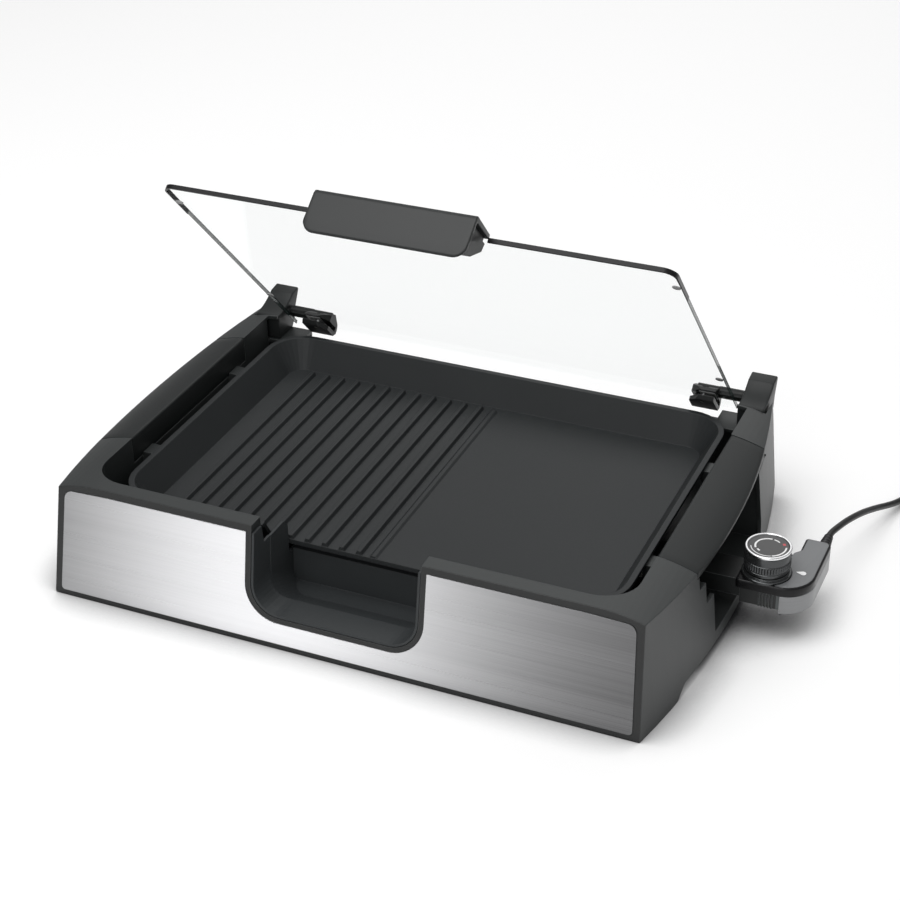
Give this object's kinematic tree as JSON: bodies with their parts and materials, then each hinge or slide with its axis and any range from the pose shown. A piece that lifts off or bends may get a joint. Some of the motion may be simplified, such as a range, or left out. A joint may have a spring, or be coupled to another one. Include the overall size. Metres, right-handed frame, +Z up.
{
  "type": "electric indoor grill",
  "caption": "Table-top electric grill: ribbed non-stick plate in a black body with steel front, hinged glass lid, grease tray and plug-in thermostat with cord.",
  "frame": {"origin": "middle of the floor area under the object, without its free cord", "axes": "+X to the right along the front, towards the thermostat plug; +Y from the front to the back; +Z up"},
  "size_m": [0.6992, 0.4559, 0.313],
  "materials": {
    "body_black": "satin",
    "handle_black": "satin",
    "front_steel": "brushed",
    "reflector": "dull bright sheet",
    "bright_steel": "bright",
    "screw_steel": "plain",
    "nonstick": "matte black non-stick coating on cast aluminium",
    "tray_black": "black coating",
    "element": "oxidised sheath",
    "ceramic": "ceramic white",
    "rubber_black": "matte",
    "silicone": "soft",
    "clear_glass": "clear",
    "edge_black": "semi-gloss",
    "plug_gray": "silver-gray",
    "plug_black": "satin",
    "lens_white": "translucent white",
    "lamp": "clear amber",
    "ring_silver": "satin chrome",
    "contact_brass": "plain",
    "cord_black": "satin",
    "tie_white": "plain"
  },
  "bodies": {
    "base": {"base_shell": "body_black", "steel_front_panel": "front_steel", "left_handle": "handle_black", "right_handle": "handle_black", "left_hinge_post": "handle_black", "right_hinge_post": "handle_black", "heat_reflector": "reflector", "grill_plate": "nonstick", "heating_element": "element", "terminal_block": "ceramic", "contact_pins": "bright_steel", "probe_tube": "bright_steel", "plate_rest_pads": "silicone", "front_feet": "rubber_black", "rear_feet": "rubber_black", "handle_screws": "screw_steel", "reflector_screws": "screw_steel"},
    "lid": {"glass_lid": "clear_glass", "lid_edge_trim": "edge_black", "lid_handle_grip": "handle_black", "lid_handle_core": "handle_black", "lid_handle_screws": "screw_steel", "left_hinge_arm": "handle_black", "right_hinge_arm": "handle_black", "hinge_gaskets": "silicone", "hinge_screws": "screw_steel", "left_hinge_pin": "bright_steel", "right_hinge_pin": "bright_steel", "lid_bumpers": "silicone"},
    "tray": {"drip_tray": "tray_black"},
    "thermostat_plug": {"plug_lower_shell": "plug_gray", "plug_upper_shell": "plug_black", "plug_top_plate": "plug_gray", "pilot_lens": "lens_white", "contact_housing": "plug_black", "contact_sleeves": "contact_brass", "probe_rod": "bright_steel", "knob_bezel": "edge_black", "bimetal_bracket": "bright_steel", "bimetal_strip": "contact_brass", "switch_blades": "contact_brass", "pilot_lamp": "lamp", "cord_clamp": "plug_black", "plug_screws": "screw_steel", "strain_relief": "cord_black", "cord_run": "cord_black", "cord_coil": "cord_black", "coil_tie": "tie_white", "mains_plug_body": "cord_black", "mains_plug_pins": "ring_silver"},
    "knob": {"knob_body": "edge_black", "knob_ring": "ring_silver", "knob_dial": "edge_black", "knob_spindle": "bright_steel", "thermostat_cam": "ceramic"}
  },
  "joints": [
    {"name": "lid_hinge", "type": "hinge", "parent": "base", "child": "lid", "pos_m": [0, 0.1659, 0.0874], "axis": [-1, 0, 0], "range_deg": [-47, 60]},
    {"name": "tray_slide", "type": "slide", "parent": "base", "child": "tray", "axis": [0, -0.8942, 0.4478], "range_m": [0, 0.075]},
    {"name": "plug_slide", "type": "slide", "parent": "base", "child": "thermostat_plug", "axis": [1, 0, 0], "range_m": [0, 0.095]},
    {"name": "knob_turn", "type": "hinge", "parent": "thermostat_plug", "child": "knob", "pos_m": [0.25159, -0.0133, 0.06], "axis": [0, 0, -1], "range_deg": [0, 270]}
  ]
}
